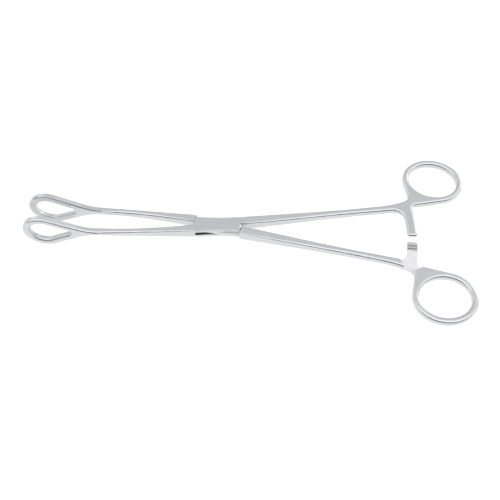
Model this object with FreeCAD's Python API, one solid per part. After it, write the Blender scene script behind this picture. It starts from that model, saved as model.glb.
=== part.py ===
"""Organ grasping forceps: two forged arms with a box lock, joined by one pin.

Lengths are millimetres, angles are degrees.
X runs along the instrument, jaws at -X and finger rings at +X. Z is the pivot axis.
The origin is where the pivot axis meets the lower flat face of the lock.

Each arm is drawn with the jaws closed, in the place of the female arm: its jaw lies at -Y
and its finger ring at +Y, with Z = 0 at the middle of the lock. The male arm is the same
arm turned over about X. At rest each arm is swung half the rest angle from closed.
"""
import FreeCAD, Part
import os
from math import asin, ceil, cos, degrees, hypot, radians, sin, sqrt, tan
from FreeCAD import Vector

# Pose at rest, measured from closed jaws.
REST_ANGLE = 6.7

# Box lock. The female arm is slotted, and the tongue of the male arm passes through it.
LOCK_THICK = 5.8
LOCK_RADIUS = 12.9
LOCK_WAIST = 8.4
LOCK_END_WIDTH = 9.6
LOCK_EDGE = 0.4
LOCK_JAW_END_BREAK = 0.1
LOCK_HANDLE_END_BREAK = 0.9
LOCK_OVERLAP = 2.4
LOCK_SIDE_STEP = 0.1
LOCK_TOP_SPARE = 0.1
LOCK_SHANK_FLARE = 0.65
LOCK_SHANK_EDGE = 0.45
TONGUE_THICK = 2.0
SLOT_CLEAR = 0.08
SHOULDER_CLEAR = 0.08
ARM_GAP_CLOSED = 0.24

# Pivot pin, riveted and ground flush with the lock.
PIN_DIAMETER = 3.8
PIN_RUNNING_CLEAR = 0.04

# Jaw shank, as (distance from the pivot, offset, width along Y, height along Z, edge radius).
JAW_SHANK = (
    (20.0, 2.82, 3.9, 5.2, 0.65),
    (34.0, 3.30, 3.2, 4.5, 0.9),
    (52.0, 3.50, 2.9, 3.7, 1.05),
)
# Jaw: a fenestrated teardrop loop standing in a plane that holds Z.
JAW_CENTRE_X = 94.2
JAW_TOE_IN = 2.2
JAW_OUTER_RADIUS = 11.15
JAW_RIM = 3.85
JAW_HOLE_END_RADIUS = 2.1
JAW_HOLE_LENGTH = 21.9
JAW_THICK = 3.4
JAW_TIP_GAP = 0.2
JAW_BACK_ROUND = 1.3
JAW_WINDOW_ROUND = 1.8
JAW_FACE_BREAK = 0.4
NECK_FLAT = 0.3
NECK_HEIGHT = 2 * JAW_BACK_ROUND + NECK_FLAT
NECK_BLEND_RADIUS = 26.0

# Handle shank, on a straight centre line, as (distance from the pivot, width, height, edge radius).
HANDLE_START_OFFSET = 3.23
HANDLE_START_X = 21.0
HANDLE_SLOPE = 6.44
HANDLE_SHANK = (
    (21.0, 4.7, 5.3, 0.65),
    (38.0, 4.2, 4.8, 0.9),
    (56.0, 3.6, 4.3, 1.05),
    (74.0, 3.4, 4.1, 1.25),
)
HANDLE_END_WIDTH = 3.7
# The shank ends, and the forged grip with ring and ratchet begins, this far before the ratchet.
GRIP_LEAD = 15.6
SECTION_STEP = 8.0

# Finger ring and the web that joins it to the shank.
RING_CENTRE = (120.3, 30.6)
RING_TILT = -10.9
RING_HOLE_LENGTH = 26.7
RING_HOLE_WIDTH = 23.1
RING_RIM = 3.3
RING_HEIGHT = 4.0
RING_EDGE = 1.4
WEB_TAIL_ANGLE = 9.3
WEB_BACK_ANGLE = -82.5
WEB_FLARE_RADIUS = 55.0
WEB_FILLET = 4.0

# Ratchets: curved bars about the pivot, each of half the handle's height.
RATCHET_RADIUS = 104.4
RATCHET_WIDTH = 5.4
RATCHET_REACH_FEMALE = 7.2
RATCHET_REACH_MALE = 2.4
RATCHET_STEPS = 3
RATCHET_PITCH = 1.9
RATCHET_TOOTH = 0.7
RATCHET_PASS_CLEAR = 0.1
RATCHET_ROOT_FILLET_FEMALE = 6.3
RATCHET_ROOT_FILLET_MALE = 4.6
RATCHET_TAIL_FILLET = 2.2
RATCHET_END_ROUND = 1.3
PAD_CUTTER_RADIUS = 6.2
PAD_REACH = 10.5

Z_AXIS = Vector(0, 0, 1)
X_AXIS = Vector(1, 0, 0)
ORIGIN = Vector(0, 0, 0)


def polar(radius, angle):
    return Vector(radius * cos(radians(angle)), radius * sin(radians(angle)), 0)


def prism(outline, low, high):
    """Extrude a flat closed outline, drawn at Z = 0, from one height to another."""
    outline.translate(Vector(0, 0, low))
    return Part.Face(outline).extrude(Vector(0, 0, high - low))


def drum(radius, low, high):
    return Part.makeCylinder(radius, high - low, Vector(0, 0, low))


def section(x, y, heading, width, height, inner_round, outer_round):
    """Rounded rectangle across an arm; the inner side faces the other arm."""
    across = Vector(-sin(radians(heading)), cos(radians(heading)), 0)
    half_w = width / 2
    half_h = height / 2
    corners = (
        (half_w, -half_h, inner_round, (-1, 0), (0, 1)),
        (half_w, half_h, inner_round, (0, -1), (-1, 0)),
        (-half_w, half_h, outer_round, (1, 0), (0, -1)),
        (-half_w, -half_h, outer_round, (0, 1), (1, 0)),
    )

    def place(a, z):
        return Vector(x, y, z) + across * a

    arcs = []
    for a, z, r, before, after in corners:
        middle = r * (1 - sqrt(0.5))
        start = place(a + before[0] * r, z + before[1] * r)
        bend = place(a + (before[0] + after[0]) * middle, z + (before[1] + after[1]) * middle)
        end = place(a + after[0] * r, z + after[1] * r)
        arcs.append((start, bend, end))
    edges = []
    for index, (start, bend, end) in enumerate(arcs):
        edges.append(Part.Arc(start, bend, end).toShape())
        edges.append(Part.makeLine(end, arcs[(index + 1) % 4][0]))
    return Part.Wire(edges)


def upright_edge_near(solid, point):
    """The vertical edge of a prism that stands closest to a point in plan."""
    def distance(edge):
        foot = edge.Vertexes[0].Point
        return hypot(foot.x - point.x, foot.y - point.y)

    uprights = [edge for edge in solid.Edges
                if len(edge.Vertexes) == 2
                and hypot(edge.Vertexes[0].X - edge.Vertexes[1].X,
                          edge.Vertexes[0].Y - edge.Vertexes[1].Y) < 1e-6]
    return min(uprights, key=distance)


def waist_block(low, high):
    """The lock between its concave long sides, longer than the round ends will leave it."""
    half_end = LOCK_END_WIDTH / 2
    half_waist = LOCK_WAIST / 2
    end = LOCK_RADIUS
    return prism(Part.Wire([
        Part.Arc(Vector(-end, half_end), Vector(0, half_waist), Vector(end, half_end)).toShape(),
        Part.makeLine(Vector(end, half_end), Vector(end, -half_end)),
        Part.Arc(Vector(end, -half_end), Vector(0, -half_waist), Vector(-end, -half_end)).toShape(),
        Part.makeLine(Vector(-end, -half_end), Vector(-end, half_end)),
    ]), low, high)


def lock_body():
    """The waisted block of the lock: long edges rounded, round ends with their edges broken."""
    half = LOCK_THICK / 2
    block = waist_block(-half, half)
    block = block.makeFillet(LOCK_EDGE, [edge for edge in block.Edges
                                         if edge.Curve.TypeId == "Part::GeomCircle"])
    halves = []
    for start, size in ((-LOCK_RADIUS, LOCK_JAW_END_BREAK), (0, LOCK_HANDLE_END_BREAK)):
        disc = drum(LOCK_RADIUS, -half, half)
        disc = disc.makeChamfer(size, [edge for edge in disc.Edges
                                       if edge.Curve.TypeId == "Part::GeomCircle"])
        room = Part.makeBox(LOCK_RADIUS, 2 * LOCK_RADIUS, LOCK_THICK,
                            Vector(start, -LOCK_RADIUS, -half))
        halves.append(block.common(disc).common(room))
    return halves[0].fuse(halves[1]).removeSplitter()


def tongue():
    """The thin middle of the male arm, with the plan of the lock."""
    half = TONGUE_THICK / 2
    return waist_block(-half, half).common(drum(LOCK_RADIUS, -half, half))


def lock_rows():
    """Two rows for an arm where it grows out of the lock, inside the round end and at it.

    A row holds distance from the pivot, offset, width, height, inner and outer edge radius.
    The inner edges of the two arms run parallel there, a small gap apart when closed. The
    height is a little more than the lock's, so that grinding the lock flat levels both.
    """
    inner = ARM_GAP_CLOSED / 2
    outer = LOCK_END_WIDTH / 2 - LOCK_SIDE_STEP
    height = LOCK_THICK + 2 * LOCK_TOP_SPARE
    rows = []
    for x, reach in ((LOCK_RADIUS - LOCK_OVERLAP, outer - LOCK_SHANK_FLARE), (LOCK_RADIUS, outer)):
        rows.append((x, (reach + inner) / 2, reach - inner, height, LOCK_SHANK_EDGE, LOCK_SHANK_EDGE))
    return rows


def smooth_row(rows, x):
    """Row at a distance x, on smooth curves through the given rows."""
    def slope(i, k):
        low, high = max(i - 1, 0), min(i + 1, len(rows) - 1)
        return (rows[high][k] - rows[low][k]) / (rows[high][0] - rows[low][0])

    i = max(index for index in range(len(rows) - 1) if rows[index][0] <= x or index == 0)
    span = rows[i + 1][0] - rows[i][0]
    t = (x - rows[i][0]) / span
    values = [x]
    for k in range(1, len(rows[0])):
        values.append((2 * t ** 3 - 3 * t ** 2 + 1) * rows[i][k]
                      + (t ** 3 - 2 * t ** 2 + t) * span * slope(i, k)
                      + (3 * t ** 2 - 2 * t ** 3) * rows[i + 1][k]
                      + (t ** 3 - t ** 2) * span * slope(i + 1, k))
    return values


def even_rows(rows):
    """The rows again, at even steps no longer than the section step."""
    first, last = rows[0][0], rows[-1][0]
    count = ceil((last - first) / SECTION_STEP)
    return [smooth_row(rows, first + (last - first) * k / count) for k in range(count + 1)]


def taper(radius, end_radius, end_distance):
    """Half angle between the two lines that touch a large and a small circle."""
    return degrees(asin((radius - end_radius) / end_distance))


def jaw_sizes():
    """Hole radius, distance of the hole's small end, half taper and start of the neck."""
    hole = JAW_OUTER_RADIUS - JAW_RIM
    end = JAW_HOLE_LENGTH - hole - JAW_HOLE_END_RADIUS
    half_taper = taper(hole, JAW_HOLE_END_RADIUS, end)
    rise = (NECK_HEIGHT / 2 + NECK_BLEND_RADIUS) * cos(radians(half_taper))
    neck = (JAW_OUTER_RADIUS + NECK_BLEND_RADIUS - rise) / sin(radians(half_taper))
    return hole, end, half_taper, neck


def upright_outline(points, y):
    """Closed outline in a plane of constant Y from (start, bend or None, end) pieces."""
    edges = []
    for start, bend, end in points:
        a, b = Vector(start[0], y, start[1]), Vector(end[0], y, end[1])
        if bend is None:
            edges.append(Part.makeLine(a, b))
        else:
            edges.append(Part.Arc(a, Vector(bend[0], y, bend[1]), b).toShape())
    return Part.Wire(edges)


def jaw_loop():
    """The teardrop loop with its circle about the origin and its neck at +X, inner face at +Y."""
    hole, hole_end, half_taper, neck = jaw_sizes()
    s, c = sin(radians(half_taper)), cos(radians(half_taper))
    inner, outer = JAW_THICK / 2, -JAW_THICK / 2
    big, small, blend, half_neck = JAW_OUTER_RADIUS, JAW_HOLE_END_RADIUS, NECK_BLEND_RADIUS, NECK_HEIGHT / 2
    blend_z = half_neck + blend
    half_turn = radians(90 - half_taper / 2)

    top = (big * s, big * c)
    flare = (neck - blend * s, blend_z - blend * c)
    ease = (neck - blend * cos(half_turn), blend_z - blend * sin(half_turn))
    root = (neck, half_neck)
    flip = lambda point: (point[0], -point[1])
    body = upright_outline((
        (flip(top), (-big, 0), top),
        (top, None, flare),
        (flare, ease, root),
        (root, None, flip(root)),
        (flip(root), flip(ease), flip(flare)),
        (flip(flare), None, flip(top)),
    ), outer)
    wide = (hole * s, hole * c)
    narrow = (hole_end + small * s, small * c)
    window = upright_outline((
        (flip(wide), (-hole, 0), wide),
        (wide, None, narrow),
        (narrow, (hole_end + small, 0), flip(narrow)),
        (flip(narrow), None, flip(wide)),
    ), outer)
    through = Vector(0, inner - outer, 0)
    loop = Part.Face(body).extrude(through).cut(Part.Face(window).extrude(through))

    def rim_edges(shape, y, round_window):
        """Edges of one face of the loop, round the window or round the outside."""
        def on_rim(edge):
            level = all(abs(vertex.Y - y) < 1e-6 for vertex in edge.Vertexes)
            return level and abs(edge.CenterOfMass.y - y) < 1e-6 and edge.CenterOfMass.x < neck - 1e-6

        def by_window(edge):
            return edge.BoundBox.XMin > -hole - 1e-3 and edge.BoundBox.XMax < hole_end + small + 1e-3

        return [edge for edge in shape.Edges if on_rim(edge) and by_window(edge) == round_window]

    loop = loop.makeFillet(JAW_WINDOW_ROUND, rim_edges(loop, outer, True))
    loop = loop.makeFillet(JAW_BACK_ROUND, rim_edges(loop, outer, False))
    loop = loop.makeChamfer(JAW_FACE_BREAK, rim_edges(loop, inner, True))
    return loop.makeChamfer(JAW_FACE_BREAK, rim_edges(loop, inner, False))


def jaw_place(shape):
    """Stand a shape drawn about the loop's circle where the closed jaw has it."""
    toe = radians(JAW_TOE_IN)
    tip_to_centre = JAW_THICK / 2 * cos(toe) + JAW_OUTER_RADIUS * sin(toe)
    shape.rotate(ORIGIN, Z_AXIS, -JAW_TOE_IN)
    shape.translate(Vector(-JAW_CENTRE_X, -tip_to_centre - JAW_TIP_GAP / 2, 0))
    return shape


def jaw():
    """Jaw shank and loop of the female arm, at -X and -Y."""
    neck = jaw_place(Part.Vertex(jaw_sizes()[3], 0, 0))
    rows = lock_rows()
    for distance, offset, width, height, edge in JAW_SHANK:
        rows.append((distance, offset, width, height, edge, edge))
    rows.append((-neck.X, -neck.Y, JAW_THICK, NECK_HEIGHT, JAW_FACE_BREAK, JAW_BACK_ROUND))
    rows = even_rows(rows)
    wires = []
    for index, (x, offset, width, height, inner, outer) in enumerate(rows):
        heading = -JAW_TOE_IN * index / (len(rows) - 1)
        wires.append(section(-x, -offset, heading, width, height, inner, outer))
    return Part.makeLoft(wires, True, False).fuse(jaw_place(jaw_loop()))


def handle_line(x):
    """Offset of the handle's straight centre line at a distance from the pivot."""
    return HANDLE_START_OFFSET + (x - HANDLE_START_X) * tan(radians(HANDLE_SLOPE))


def crossing(point_a, angle_a, point_b, angle_b):
    """Point where two lines, each given by a point and a direction, cross in plan."""
    ax, ay = cos(radians(angle_a)), sin(radians(angle_a))
    bx, by = cos(radians(angle_b)), sin(radians(angle_b))
    gap = point_b - point_a
    along = (gap.x * by - gap.y * bx) / (ax * by - ay * bx)
    return point_a + Vector(ax, ay, 0) * along


def ring_touch(normal_angle):
    """Point of the ring's outer ellipse whose outward normal has the given angle."""
    long_half = RING_HOLE_LENGTH / 2 + RING_RIM
    short_half = RING_HOLE_WIDTH / 2 + RING_RIM
    turn = radians(normal_angle - RING_TILT)
    reach = hypot(long_half * cos(turn), short_half * sin(turn))
    local = Vector(long_half ** 2 * cos(turn), short_half ** 2 * sin(turn), 0) * (1 / reach)
    local = FreeCAD.Rotation(Z_AXIS, RING_TILT).multVec(local)
    return local + Vector(*RING_CENTRE, 0)


def web_flare(start, outward, back):
    """Arc that leads the handle's outer side away towards the web, and its corner with the web.

    The arc leaves the start along the handle and bends outward until it meets the web's
    back line, which runs through the back point of the ring.
    """
    centre = start + outward * WEB_FLARE_RADIUS
    line = Vector(cos(radians(WEB_BACK_ANGLE)), sin(radians(WEB_BACK_ANGLE)), 0)
    to_centre = centre - back
    along = to_centre.dot(line)
    aside = to_centre - line * along
    corner = back + line * (along + sqrt(WEB_FLARE_RADIUS ** 2 - aside.Length ** 2))
    middle = (start + corner) * 0.5 - centre
    bend = centre + middle * (WEB_FLARE_RADIUS / middle.Length)
    return Part.Arc(corner, bend, start).toShape(), corner


def ring_ellipse(grow):
    """Plan of the ring's hole, grown on every side by a wall."""
    long_half = RING_HOLE_LENGTH / 2 + grow
    short_half = RING_HOLE_WIDTH / 2 + grow
    wire = Part.Wire(Part.Ellipse(ORIGIN, long_half, short_half).toShape())
    wire.rotate(ORIGIN, Z_AXIS, RING_TILT)
    wire.translate(Vector(*RING_CENTRE, 0))
    return wire


def bar_outline(reach):
    """Plan of a ratchet bar: a curved strip about the pivot from inside the shank to its end."""
    inner = RATCHET_RADIUS - RATCHET_WIDTH / 2
    outer = RATCHET_RADIUS + RATCHET_WIDTH / 2
    low = degrees(asin(-reach / RATCHET_RADIUS))
    root = handle_line(RATCHET_RADIUS) + HANDLE_END_WIDTH / 3
    high = degrees(asin(root / RATCHET_RADIUS))
    mid = (low + high) / 2
    return Part.Wire([
        Part.Arc(polar(outer, low), polar(outer, mid), polar(outer, high)).toShape(),
        Part.makeLine(polar(outer, high), polar(inner, high)),
        Part.Arc(polar(inner, high), polar(inner, mid), polar(inner, low)).toShape(),
        Part.makeLine(polar(inner, low), polar(outer, low)),
    ])


def grip(reach, root_fillet):
    """End of the handle as one forged piece: web, finger ring and ratchet bar."""
    half = RING_HEIGHT / 2
    start_x = RATCHET_RADIUS - GRIP_LEAD
    start = Vector(start_x, handle_line(start_x), 0)
    across = Vector(-sin(radians(HANDLE_SLOPE)), cos(radians(HANDLE_SLOPE)), 0)
    start_in = start - across * (HANDLE_END_WIDTH / 2)
    start_out = start + across * (HANDLE_END_WIDTH / 2)
    tail = ring_touch(WEB_TAIL_ANGLE - 90)
    back = ring_touch(WEB_BACK_ANGLE - 90)
    flare, corner = web_flare(start_out, across, back)
    bar_line = Vector(RATCHET_RADIUS, 0, 0)
    bar_in = crossing(start_in, HANDLE_SLOPE, bar_line, 90)
    bar_tail = crossing(tail, WEB_TAIL_ANGLE, bar_line, 90)
    sides = Part.makePolygon([start_out, start_in, bar_in, bar_tail, tail, Vector(*RING_CENTRE, 0),
                              back, corner])
    solid = prism(Part.Wire([flare] + sides.Edges), -half, half)
    solid = solid.fuse([prism(ring_ellipse(RING_RIM), -half, half),
                        prism(bar_outline(reach), -half, half)]).removeSplitter()

    inner_root = Vector(bar_in.x - RATCHET_WIDTH / 2, bar_in.y, 0)
    outer_root = Vector(bar_in.x + RATCHET_WIDTH / 2, bar_tail.y, 0)
    solid = solid.makeFillet(WEB_FILLET, [upright_edge_near(solid, corner)])
    solid = solid.makeFillet(root_fillet, [upright_edge_near(solid, inner_root)])
    solid = solid.makeFillet(RATCHET_TAIL_FILLET, [upright_edge_near(solid, outer_root)])
    low = degrees(asin(-reach / RATCHET_RADIUS))
    for shift in (-RATCHET_WIDTH / 2, RATCHET_WIDTH / 2):
        end = upright_edge_near(solid, polar(RATCHET_RADIUS + shift, low))
        solid = solid.makeFillet(RATCHET_END_ROUND, [end])
    solid = solid.cut(prism(ring_ellipse(0), -half, half))
    edges = [edge for edge in solid.Edges
             if abs(abs(edge.CenterOfMass.z) - half) < 1e-6
             and (edge.CenterOfMass - start).dot(Vector(across.y, -across.x, 0)) > 1e-3]
    return solid.makeFillet(RING_EDGE, edges)


def pad_cutter():
    """Round-ended pocket that takes away the lower half of a handle under its ratchet."""
    end_angle = degrees(asin(PAD_REACH / RATCHET_RADIUS))
    start_angle = -end_angle
    inner, outer = RATCHET_RADIUS - PAD_CUTTER_RADIUS, RATCHET_RADIUS + PAD_CUTTER_RADIUS
    outline = Part.Wire([
        Part.Arc(polar(outer, start_angle), polar(outer, 0), polar(outer, end_angle)).toShape(),
        Part.Arc(polar(outer, end_angle),
                 polar(RATCHET_RADIUS, end_angle) + polar(PAD_CUTTER_RADIUS, end_angle + 90),
                 polar(inner, end_angle)).toShape(),
        Part.Arc(polar(inner, end_angle), polar(inner, 0), polar(inner, start_angle)).toShape(),
        Part.makeLine(polar(inner, start_angle), polar(outer, start_angle)),
    ])
    return prism(outline, -RING_HEIGHT, RATCHET_PASS_CLEAR / 2)


def tooth_cutter(step, reach):
    """Wedge between two ratchet teeth, steep on the side away from the bar's end."""
    first = -reach + step * RATCHET_PITCH
    lead = RATCHET_PITCH if step == 0 else 0
    low = RATCHET_PASS_CLEAR / 2
    profile = Part.makePolygon([
        Vector(0, first - lead, low - RATCHET_TOOTH),
        Vector(0, first - lead, low + RATCHET_TOOTH),
        Vector(0, first, low + RATCHET_TOOTH),
        Vector(0, first + RATCHET_PITCH, low),
        Vector(0, first + RATCHET_PITCH, low - RATCHET_TOOTH),
        Vector(0, first - lead, low - RATCHET_TOOTH),
    ])
    profile.translate(Vector(RATCHET_RADIUS - RATCHET_WIDTH, 0, 0))
    wedge = Part.Face(profile).extrude(X_AXIS * (2 * RATCHET_WIDTH))
    mean = first + RATCHET_PITCH / 2
    wedge.translate(Vector(0, -mean, 0))
    wedge.rotate(ORIGIN, Z_AXIS, degrees(asin(mean / RATCHET_RADIUS)))
    return wedge


def handle(reach, root_fillet):
    """Handle shank, finger ring and ratchet of the female arm, at +X and +Y."""
    rows = lock_rows()
    for x, width, height, edge in HANDLE_SHANK:
        rows.append((x, handle_line(x), width, height, edge, edge))
    end_x = RATCHET_RADIUS - GRIP_LEAD
    rows.append((end_x, handle_line(end_x), HANDLE_END_WIDTH, RING_HEIGHT, RING_EDGE, RING_EDGE))
    rows = even_rows(rows)
    wires = []
    for index, (x, offset, width, height, inner, outer) in enumerate(rows):
        heading = HANDLE_SLOPE * min(1, 2 * index / (len(rows) - 1))
        wires.append(section(x, offset, heading, width, height, inner, outer))
    solid = Part.makeLoft(wires, True, False).fuse(grip(reach, root_fillet))
    solid = solid.cut(pad_cutter())
    return solid.cut([tooth_cutter(step, reach) for step in range(RATCHET_STEPS)])


def through_lock(radius):
    """A cylinder about the pivot that passes through the whole lock."""
    return drum(radius, -LOCK_THICK, LOCK_THICK)


def ground_level(arm):
    """Grind both sides of an arm level with the flat faces of the lock, out to the slim shanks."""
    half = LOCK_THICK / 2
    reach = HANDLE_START_X
    return arm.cut([Part.makeBox(2 * reach, 2 * reach, half, Vector(-reach, -reach, low))
                    for low in (half, -2 * half)])


def female_arm():
    arm = lock_body().fuse([jaw(), handle(RATCHET_REACH_FEMALE, RATCHET_ROOT_FILLET_FEMALE)])
    arm = ground_level(arm)
    half_slot = TONGUE_THICK / 2 + SLOT_CLEAR
    arm = arm.cut(drum(LOCK_RADIUS + SLOT_CLEAR, -half_slot, half_slot))
    return arm.cut(through_lock(PIN_DIAMETER / 2)).removeSplitter()


def male_arm():
    half_tongue = TONGUE_THICK / 2
    shanks = ground_level(jaw().fuse(handle(RATCHET_REACH_MALE, RATCHET_ROOT_FILLET_MALE)))
    reach = LOCK_RADIUS + SHOULDER_CLEAR
    shanks = shanks.cut([drum(reach, half_tongue, LOCK_THICK), drum(reach, -LOCK_THICK, -half_tongue)])
    arm = shanks.fuse(tongue())
    arm = arm.cut(through_lock(PIN_DIAMETER / 2 + PIN_RUNNING_CLEAR)).removeSplitter()
    arm.rotate(ORIGIN, X_AXIS, 180)
    return arm


def pivot_pin():
    half = LOCK_THICK / 2
    return drum(PIN_DIAMETER / 2, -half, half)


def at_rest(shape, swing):
    """Swing an arm from closed to rest, and lift the part so that the lock's face is Z = 0."""
    shape.rotate(ORIGIN, Z_AXIS, swing)
    shape.translate(Vector(0, 0, LOCK_THICK / 2))
    return shape


def main():
    parts = {
        "female_arm": at_rest(female_arm(), REST_ANGLE / 2),
        "male_arm": at_rest(male_arm(), -REST_ANGLE / 2),
        "pivot_pin": at_rest(pivot_pin(), 0),
    }
    os.makedirs("parts", exist_ok=True)
    for name, shape in parts.items():
        solids = shape.Solids
        print(name, "solids", len(solids), "valid", shape.isValid(), "volume", round(shape.Volume, 2))
        solid = solids[0] if len(solids) == 1 else shape
        solid.exportStep("parts/" + name + ".step")


main()
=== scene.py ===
from math import asin, cos, pi

import bpy
import numpy as np
from mathutils import Matrix, Vector


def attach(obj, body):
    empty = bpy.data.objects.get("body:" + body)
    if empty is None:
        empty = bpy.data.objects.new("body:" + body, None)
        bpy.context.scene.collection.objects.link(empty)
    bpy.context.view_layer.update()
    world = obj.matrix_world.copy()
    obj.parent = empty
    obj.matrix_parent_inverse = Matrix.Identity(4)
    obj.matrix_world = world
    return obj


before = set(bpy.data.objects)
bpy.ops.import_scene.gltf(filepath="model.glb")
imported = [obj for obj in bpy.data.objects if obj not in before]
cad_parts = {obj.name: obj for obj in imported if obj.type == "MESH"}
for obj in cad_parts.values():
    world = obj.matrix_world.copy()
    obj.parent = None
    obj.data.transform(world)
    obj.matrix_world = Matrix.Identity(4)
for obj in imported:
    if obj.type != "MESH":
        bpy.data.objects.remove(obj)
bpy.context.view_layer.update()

# All lengths are in metres.
MID_HEIGHT = 0.0029

# Where the brushing turns: the centre of the upper finger ring and of the jaw loops, the place
# along X where each begins, half the width of the change, and the mean radius of the turn.
RING_CENTRE = (0.1183, 0.0376)
RING_BEGINS = 0.1000
RING_CHANGE = 0.003
RING_TURN_RADIUS = 0.014
JAW_CENTRE_X = -0.0941
JAW_BEGINS = -0.0800
JAW_CHANGE = 0.004
JAW_TURN_RADIUS = 0.010

# Brush and milling lines are drawn out along the first axis of their coordinates.
BRUSH_STRETCH = (0.05, 1.0, 1.0)
MILLING_STRETCH = (0.12, 1.0, 1.0)
FINE_BRUSH_SCALE = 9000.0
BROAD_BRUSH_SCALE = 900.0
CLOUD_SCALE = 60.0
MILLING_SCALE = 2600.0
FINE_SHARE = 0.45
BROAD_SHARE = 0.35
CLOUD_SHARE = 0.20
BRUSH_BUMP = 0.00005
BRUSH_BUMP_STRENGTH = 0.12

# Each finish goes from its dark to its light shade as its noise goes from 0.3 to 0.7. Roughness
# starts from the satin value, to which the others are added where they apply.
SHADES_AT = (0.3, 0.7)
SATIN_SHADES = ((0.61, 0.614, 0.63, 1), (0.70, 0.704, 0.718, 1))
# The slot's two shades are painted shade: near-black, standing for the shadow inside the box lock.
SLOT_PAINTED_SHADES = ((0.10, 0.10, 0.104, 1), (0.15, 0.15, 0.155, 1))
MILLED_SHADES = ((0.80, 0.80, 0.805, 1), (0.92, 0.92, 0.925, 1))
SATIN_ROUGHNESS = 0.17
ROUGHNESS_WANDERS = 0.14
JAW_ROUGHER = 0.10
SLOT_ROUGHER = 0.25
MILLED_ROUGHER = 0.30

# The slot through the box lock, painted near-black as shade, by its radii about the pin and its height.
SLOT_RADII = (0.0, 0.01299)
SLOT_HEIGHTS = (0.00180, 0.00400)
SLOT_EDGE = 0.00001

# The milled step beside the ratchet teeth, by its radii about the pin and its height. The teeth
# are cut down from it. The step's finish fades in along MILLED_X, and the teeth's along TEETH_Y.
MILLED_RADII = (0.0982, 0.1106)
MILLED_RIM = 0.0001
MILLED_X = (0.0960, 0.0965)
MILLED_HEIGHTS = (0.00280, 0.00290)
TEETH_HEIGHTS = (0.00210, 0.00290)
MILLED_EDGE = 0.00002
TEETH_Y = (-0.0106, -0.0104)
TEETH_SHARE = 0.35

# The window of the lower jaw loop and the flat gripping face round it: two arcs and the lines
# that touch both. The upper loop is its mirror image.
WINDOW_CENTRE = (-0.093909, -0.007728, 0.0029)
WINDOW_TURN = 1.15 / 180.0 * pi
WINDOW_RADIUS = 0.0073
WINDOW_END_RADIUS = 0.0021
WINDOW_LENGTH = 0.0125
FACE_INSET = 0.0017

# The cross-cut teeth on that face: rows that run round the window, cut across at a fine pitch.
ROWS = 5
ROWS_FROM = 0.00060
ROW_PITCH = 0.00054
GROOVE_HALF = 0.00009
GROOVE_FLOOR = 0.15
TOOTH_PITCH = 0.00066
TOOTH_STEPS = 8
TOOTH_WAVE = ((0.0, 0.125, 0.5, 0.75, 1.0), (1.0, 1.0, 0.0, 0.0, 1.0))
TOOTH_HEIGHT = 0.000075
TOOTH_ROOT = 0.00001
TOOTH_SINK = 0.00005
TEETH_END_AT = 0.0126
ROW_STAGGER = 0.00035
END_SLOPE = 0.00012

FLOOR_HEIGHT = -0.0083
FLOOR_HALF = 3.0
FLOOR_GREY = (0.26, 0.26, 0.26, 1)
FLOOR_GLOW = 0.84
WHITE = (1.0, 1.0, 1.0, 1)

# Brightness of the light tent from the near horizon (0) over the top (0.5) to the far one (1).
TENT_LEVELS = (
    (0.00, 0.05),
    (0.19, 0.07),
    (0.28, 1.46),
    (0.42, 1.56),
    (0.50, 1.12),
    (0.60, 0.95),
    (0.66, 0.80),
    (0.80, 0.76),
    (1.00, 0.55),
)
TENT_BLUE = 1.01

# Name, place, target, width and height, and power in watts of each soft box.
SOFTBOXES = (
    ("softbox_low_right", (1.1, 0.75, 0.22), (0.0, 0.0, 0.0), (0.5, 0.4), 1.0),
    ("softbox_high_right", (0.96, 0.76, 0.80), (0.04, 0.0, 0.0), (0.80, 0.80), 1.0),
    ("softbox_high_left", (-0.98, 0.76, 0.70), (-0.06, 0.0, 0.0), (0.70, 0.70), 0.7),
)

# The camera of the photograph: its directions, its place, and its lens and film in millimetres.
CAMERA_RIGHT = (0.99825, 0.05901, -0.00358)
CAMERA_UP = (-0.04754, 0.83720, 0.54483)
CAMERA_BACK = (0.03515, -0.54371, 0.83854)
CAMERA_PLACE = (0.030490, -0.205116, 0.297602)
CAMERA_LENS = 47.768
CAMERA_FILM = 36.0


def maths(tree, operation, *inputs):
    """One arithmetic node; each input is a number or the output of another node."""
    node = tree.nodes.new("ShaderNodeMath")
    node.operation = operation
    for socket, given in zip(node.inputs, inputs):
        if isinstance(given, (int, float)):
            socket.default_value = given
        else:
            tree.links.new(given, socket)
    return node.outputs[0]


def plus(tree, first, second):
    return maths(tree, "ADD", first, second)


def times(tree, first, second):
    return maths(tree, "MULTIPLY", first, second)


def distance(tree, x, y):
    """The square root of x squared plus y squared."""
    return maths(tree, "SQRT", plus(tree, times(tree, x, x), times(tree, y, y)))


def vector(tree, x, y, z):
    node = tree.nodes.new("ShaderNodeCombineXYZ")
    for socket, given in zip(node.inputs, (x, y, z)):
        tree.links.new(given, socket)
    return node.outputs[0]


def stretched(tree, where, factors):
    """A coordinate scaled by its own factor along each axis."""
    node = tree.nodes.new("ShaderNodeVectorMath")
    node.operation = "MULTIPLY"
    node.inputs[1].default_value = factors
    tree.links.new(where, node.inputs[0])
    return node.outputs[0]


def blend_vectors(tree, factor, first, second):
    """The first coordinate where the factor is 0 and the second where it is 1."""
    # The vector sockets of a Mix node are its inputs 4 and 5 and its output 1.
    node = tree.nodes.new("ShaderNodeMix")
    node.data_type = "VECTOR"
    tree.links.new(factor, node.inputs["Factor"])
    tree.links.new(first, node.inputs[4])
    tree.links.new(second, node.inputs[5])
    return node.outputs[1]


def blend_colours(tree, factor, first, second):
    """The first colour where the factor is 0 and the second where it is 1."""
    # The colour sockets of a Mix node are its inputs 6 and 7 and its output 2.
    node = tree.nodes.new("ShaderNodeMix")
    node.data_type = "RGBA"
    tree.links.new(factor, node.inputs["Factor"])
    for socket, given in zip(node.inputs[6:8], (first, second)):
        if isinstance(given, tuple):
            socket.default_value = given
        else:
            tree.links.new(given, socket)
    return node.outputs[2]


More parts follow.
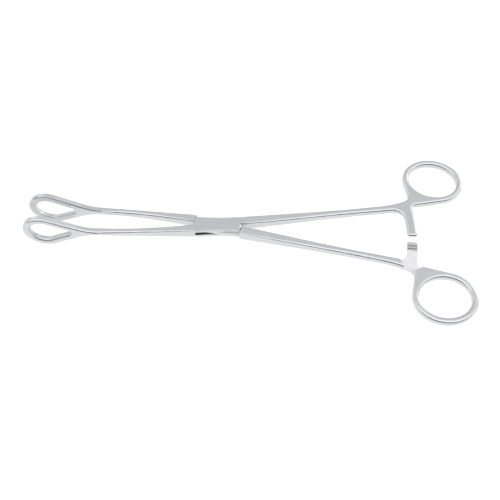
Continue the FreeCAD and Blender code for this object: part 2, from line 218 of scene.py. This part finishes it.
def step_up(tree, x, start, end):
    """0 at start, 1 at end, smooth between them."""
    node = tree.nodes.new("ShaderNodeMapRange")
    node.interpolation_type = "SMOOTHSTEP"
    node.inputs["From Min"].default_value = start
    node.inputs["From Max"].default_value = end
    tree.links.new(x, node.inputs["Value"])
    return node.outputs["Result"]


def within(tree, x, limits, soft):
    """1 between the two limits, 0 outside, smooth over soft beyond each limit."""
    low, high = limits
    return times(tree, step_up(tree, x, low - soft, low), step_up(tree, x, high + soft, high))


def noise(tree, where, scale, detail=3.0, roughness=0.55):
    node = tree.nodes.new("ShaderNodeTexNoise")
    node.inputs["Scale"].default_value = scale
    node.inputs["Detail"].default_value = detail
    node.inputs["Roughness"].default_value = roughness
    tree.links.new(where, node.inputs["Vector"])
    return node.outputs["Fac"]


def shade(tree, factor, dark_and_light):
    """The dark grey where the factor is low and the light grey where it is high."""
    node = tree.nodes.new("ShaderNodeValToRGB")
    for end, position, colour in zip(node.color_ramp.elements, SHADES_AT, dark_and_light):
        end.position = position
        end.color = colour
    tree.links.new(factor, node.inputs["Fac"])
    return node.outputs["Color"]


def slot_painted_shade(tree, x, y, z):
    """1 on the walls of the slot through the box lock, where the steel is painted near-black as shade
    and left rougher.
    """
    return times(tree, within(tree, distance(tree, x, y), SLOT_RADII, SLOT_EDGE),
                 within(tree, z, SLOT_HEIGHTS, SLOT_EDGE))


def milled_step(tree, x, y, z):
    """1 on the milled step where the other arm's ratchet bar passes, and less on its teeth."""
    step = within(tree, z, MILLED_HEIGHTS, MILLED_EDGE)
    on_bar = times(tree, step_up(tree, y, *TEETH_Y), TEETH_SHARE)
    teeth = times(tree, within(tree, z, TEETH_HEIGHTS, MILLED_EDGE), on_bar)
    beside_ring = times(tree, within(tree, distance(tree, x, y), MILLED_RADII, MILLED_RIM),
                        step_up(tree, x, *MILLED_X))
    return times(tree, beside_ring, maths(tree, "MAXIMUM", step, teeth))


def brushing(tree, split, ring_y, on_jaw):
    """The coordinate that the brush lines follow: along them, across them, and the third way.

    On the shanks it is the position itself. Round a ring or a jaw loop, along is the angle
    about its centre times the mean radius, and across is the distance from that centre.
    """
    x, y, z = split.outputs
    ring_x = maths(tree, "SUBTRACT", x, RING_CENTRE[0])
    ring_y = maths(tree, "SUBTRACT", y, ring_y)
    round_ring = vector(tree, times(tree, maths(tree, "ARCTAN2", ring_y, ring_x), RING_TURN_RADIUS),
                        distance(tree, ring_x, ring_y), z)
    jaw_x = maths(tree, "SUBTRACT", x, JAW_CENTRE_X)
    jaw_z = maths(tree, "SUBTRACT", z, MID_HEIGHT)
    round_jaw = vector(tree, times(tree, maths(tree, "ARCTAN2", jaw_z, jaw_x), JAW_TURN_RADIUS),
                       distance(tree, jaw_x, jaw_z), y)
    on_ring = step_up(tree, x, RING_BEGINS - RING_CHANGE, RING_BEGINS + RING_CHANGE)
    lay = blend_vectors(tree, on_ring, vector(tree, x, y, z), round_ring)
    return blend_vectors(tree, on_jaw, lay, round_jaw)


def satin_steel(name, ring_y, milled_or_shaded_place, milled_or_shaded_shades, bare_rougher):
    """Satin stainless steel, brushed along the shanks and round the rings and jaw loops.

    The tone and the roughness wander with fine brush lines, broad brush lines and a cloudy
    change from place to place. Where the given place mask is 1, the steel takes the given second
    shades and roughness. On the male arm that is the step as the cutter left it. On the female
    arm it is the lock's slot, painted near-black as shade.
    """
    steel = bpy.data.materials.new(name)
    steel.use_nodes = True
    tree = steel.node_tree
    shader = tree.nodes["Principled BSDF"]
    place = tree.nodes.new("ShaderNodeTexCoord").outputs["Object"]
    split = tree.nodes.new("ShaderNodeSeparateXYZ")
    tree.links.new(place, split.inputs[0])
    x, y, z = split.outputs
    on_jaw = step_up(tree, x, JAW_BEGINS + JAW_CHANGE, JAW_BEGINS - JAW_CHANGE)
    lay = stretched(tree, brushing(tree, split, ring_y, on_jaw), BRUSH_STRETCH)
    fine = noise(tree, lay, FINE_BRUSH_SCALE)
    broad = noise(tree, lay, BROAD_BRUSH_SCALE)
    cloud = noise(tree, place, CLOUD_SCALE, detail=2.0)
    milling = noise(tree, stretched(tree, place, MILLING_STRETCH), MILLING_SCALE, detail=2.0)
    wander = plus(tree, times(tree, fine, FINE_SHARE),
                  plus(tree, times(tree, broad, BROAD_SHARE), times(tree, cloud, CLOUD_SHARE)))
    # On the female arm this mask is the slot, painted near-black as shade. On the male arm it is the
    # milled step.
    milled_or_shaded_mask = milled_or_shaded_place(tree, x, y, z)

    satin = shade(tree, wander, SATIN_SHADES)
    # The second shades: the male arm's milled finish, or the painted shade in the female arm's slot.
    cut = shade(tree, milling, milled_or_shaded_shades)
    tree.links.new(blend_colours(tree, milled_or_shaded_mask, satin, cut), shader.inputs["Base Color"])
    rough = plus(tree, SATIN_ROUGHNESS, times(tree, wander, ROUGHNESS_WANDERS))
    rough = plus(tree, rough, times(tree, on_jaw, JAW_ROUGHER))
    rough = plus(tree, rough, times(tree, milled_or_shaded_mask, bare_rougher))
    tree.links.new(rough, shader.inputs["Roughness"])
    shader.inputs["Metallic"].default_value = 1.0
    bump = tree.nodes.new("ShaderNodeBump")
    bump.inputs["Strength"].default_value = BRUSH_BUMP_STRENGTH
    bump.inputs["Distance"].default_value = BRUSH_BUMP
    tree.links.new(fine, bump.inputs["Height"])
    tree.links.new(bump.outputs["Normal"], shader.inputs["Normal"])
    return steel


def finish_nodes(female_steel, male_steel):
    """Each CAD node in its arm's steel. The pin is ground flush with the female arm."""
    steels = {"female_arm": female_steel, "pivot_pin": female_steel, "male_arm": male_steel}
    for node, steel in steels.items():
        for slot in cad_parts[node].material_slots:
            slot.material = steel


def link(name, mesh, material):
    """A new object in the scene, at the origin, for a mesh in one material."""
    mesh.materials.append(material)
    piece = bpy.data.objects.new(name, mesh)
    bpy.context.scene.collection.objects.link(piece)
    return piece


def window_outline(offset):
    """The way once round a jaw window, as a function of the fraction of that way.

    The outline is two arcs and the two lines that touch both. The normal's angle, the centre
    of the arc and its radius are straight-line functions of the way along the four parts,
    measured at an offset outside the outline. The way begins at the neck end of the window.
    The first value returned is the place within a tooth, from 0 to 1.
    """
    turn = pi / 2.0 - asin((WINDOW_RADIUS - WINDOW_END_RADIUS) / WINDOW_LENGTH)
    line = WINDOW_LENGTH * cos(pi / 2.0 - turn)
    parts = ((WINDOW_END_RADIUS + offset) * 2.0 * turn, line,
             (WINDOW_RADIUS + offset) * 2.0 * (pi - turn), line)
    knots = np.concatenate(([0.0], np.cumsum(parts)))
    teeth = int(round(knots[-1] / TOOTH_PITCH))
    fraction = np.arange(teeth * TOOTH_STEPS) / float(teeth * TOOTH_STEPS)
    way = fraction * knots[-1]
    angle = np.interp(way, knots, (-turn, turn, turn, 2.0 * pi - turn, 2.0 * pi - turn))
    centre = np.interp(way, knots, (WINDOW_LENGTH, WINDOW_LENGTH, 0.0, 0.0, WINDOW_LENGTH))
    radius = np.interp(way, knots, (WINDOW_END_RADIUS, WINDOW_END_RADIUS, WINDOW_RADIUS, WINDOW_RADIUS,
                                    WINDOW_END_RADIUS))
    return (fraction * teeth) % 1.0, angle, centre, radius


def jaw_teeth(name, body, side, steel):
    """The cross-cut gripping face of one jaw loop: a closed skin that stands on the flat steel.

    The first parameter runs once round the window and the second across the rim. A point is
    the point of the window's outline, moved out along the outline's normal by the distance
    across the rim, and lifted off the face by the tooth height there. The tooth height is a
    trapezium wave of the way round times the height across the rim, which drops in the groove
    between two rows. The skin sinks into the steel at its edges and past the stepped ends of
    the rows, and closes below itself. The side is 1 for the lower loop and -1 for the upper.
    """
    row = np.arange(ROWS)
    row_from = ROWS_FROM + row * ROW_PITCH
    row_to = ROWS_FROM + (row + 1) * ROW_PITCH
    row_points = np.stack((row_from + GROOVE_HALF, row_to - GROOVE_HALF, row_to), axis=-1)
    across_rim = np.concatenate(([ROWS_FROM], row_points.ravel()))
    row_height = np.concatenate(([0.0], np.tile((1.0, 1.0, GROOVE_FLOOR), ROWS)))
    row_end = TEETH_END_AT + ROW_STAGGER * np.concatenate(([0.0], np.repeat(row % 2, 3)))
    buried = np.zeros(across_rim.size, bool)
    buried[[0, -1]] = True
    in_tooth, angle, centre, radius = window_outline(across_rim.mean())
    tooth = np.interp(in_tooth, *TOOTH_WAVE)

    reach = radius[:, None] + across_rim[None, :]
    towards_neck = centre[:, None] + reach * np.cos(angle)[:, None]
    upward = reach * np.sin(angle)[:, None]
    there = np.clip((row_end[None, :] - towards_neck) / END_SLOPE, 0.0, 1.0)
    above_sunk = TOOTH_SINK + TOOTH_ROOT + TOOTH_HEIGHT * tooth[:, None] * row_height[None, :]
    lift = FACE_INSET - TOOTH_SINK + np.where(buried[None, :], 0.0, above_sunk * there)
    x = WINDOW_CENTRE[0] + towards_neck * np.cos(WINDOW_TURN) - lift * np.sin(WINDOW_TURN)
    y = WINDOW_CENTRE[1] + towards_neck * np.sin(WINDOW_TURN) + lift * np.cos(WINDOW_TURN)
    z = WINDOW_CENTRE[2] + upward
    points = np.stack((x, y * side, z), axis=-1).reshape(-1, 3)

    count, across = in_tooth.size, across_rim.size
    i = np.arange(count)[:, None]
    j = np.arange(across)[None, :]
    ahead = (i + 1) % count
    beside = (j + 1) % across
    corners = (i * across + j, i * across + beside, ahead * across + beside, ahead * across + j)
    quads = np.stack(corners, axis=-1).reshape(-1, 4)
    if side > 0:
        quads = quads[:, ::-1]
    mesh = bpy.data.meshes.new(name)
    mesh.from_pydata(points.tolist(), [], quads.tolist())
    piece = link(name, mesh, steel)
    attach(piece, body)


def pale_floor():
    """A large square of pale paper that glows a little, so that no shadow greys it."""
    paint = bpy.data.materials.new("pale_floor")
    paint.use_nodes = True
    shader = paint.node_tree.nodes["Principled BSDF"]
    shader.inputs["Base Color"].default_value = FLOOR_GREY
    shader.inputs["Roughness"].default_value = 0.9
    shader.inputs["Specular IOR Level"].default_value = 0.0
    shader.inputs["Emission Color"].default_value = WHITE
    shader.inputs["Emission Strength"].default_value = FLOOR_GLOW
    mesh = bpy.data.meshes.new("floor")
    signs = ((-1, -1), (1, -1), (1, 1), (-1, 1))
    corners = [(FLOOR_HALF * a, FLOOR_HALF * b, FLOOR_HEIGHT) for a, b in signs]
    mesh.from_pydata(corners, [], [(0, 1, 2, 3)])
    floor = link("floor", mesh, paint)


def softbox(name, where, towards, size, power):
    """A rectangular studio light that points from one place towards another."""
    data = bpy.data.lights.new(name, "AREA")
    data.shape = "RECTANGLE"
    data.size, data.size_y = size
    data.energy = power
    lamp = bpy.data.objects.new(name, data)
    lamp.location = where
    lamp.rotation_euler = (Vector(towards) - Vector(where)).to_track_quat("-Z", "Y").to_euler()
    bpy.context.scene.collection.objects.link(lamp)


def light_tent():
    """A light tent in front of a white backdrop, open towards the dark room on the near side.

    Its brightness follows the height of a direction in the Y-Z plane, as a fraction of the
    half turn from the near horizon over the top to the far horizon.
    """
    world = bpy.data.worlds.new("light_tent")
    bpy.context.scene.world = world
    world.use_nodes = True
    tree = world.node_tree
    split = tree.nodes.new("ShaderNodeSeparateXYZ")
    tree.links.new(tree.nodes.new("ShaderNodeTexCoord").outputs["Generated"], split.inputs[0])
    near = times(tree, split.outputs[1], -1.0)
    height = maths(tree, "DIVIDE", maths(tree, "ARCTAN2", split.outputs[2], near), pi)
    levels = tree.nodes.new("ShaderNodeValToRGB")
    steps = levels.color_ramp.elements
    steps.remove(steps[1])
    for position, level in TENT_LEVELS:
        step = steps.new(position) if position else steps[0]
        step.color = (level, level, level * TENT_BLUE, 1)
    tree.links.new(height, levels.inputs["Fac"])
    seen_directly = tree.nodes.new("ShaderNodeLightPath").outputs["Is Camera Ray"]
    colour = blend_colours(tree, seen_directly, levels.outputs["Color"], WHITE)
    tree.links.new(colour, tree.nodes["Background"].inputs["Color"])


def photo_camera():
    """The camera at the photograph's viewing angle, with plain colours."""
    data = bpy.data.cameras.new("camera")
    data.sensor_width = CAMERA_FILM
    data.lens = CAMERA_LENS
    camera = bpy.data.objects.new("camera", data)
    turn = Matrix((CAMERA_RIGHT, CAMERA_UP, CAMERA_BACK)).transposed().to_4x4()
    camera.matrix_world = Matrix.Translation(CAMERA_PLACE) @ turn
    bpy.context.scene.collection.objects.link(camera)
    bpy.context.scene.camera = camera
    bpy.context.scene.view_settings.view_transform = "Standard"


photo_camera()
light_tent()
for box in SOFTBOXES:
    softbox(*box)
pale_floor()
# The female arm's slot is painted near-black as shade. The male arm's milled step is its own lighter
# finish.
female_steel = satin_steel("satin_steel_female", RING_CENTRE[1], slot_painted_shade, SLOT_PAINTED_SHADES, SLOT_ROUGHER)
male_steel = satin_steel("satin_steel_male", -RING_CENTRE[1], milled_step, MILLED_SHADES, MILLED_ROUGHER)
finish_nodes(female_steel, male_steel)
jaw_teeth("female_jaw_teeth", "female", 1.0, female_steel)
jaw_teeth("male_jaw_teeth", "male", -1.0, male_steel)
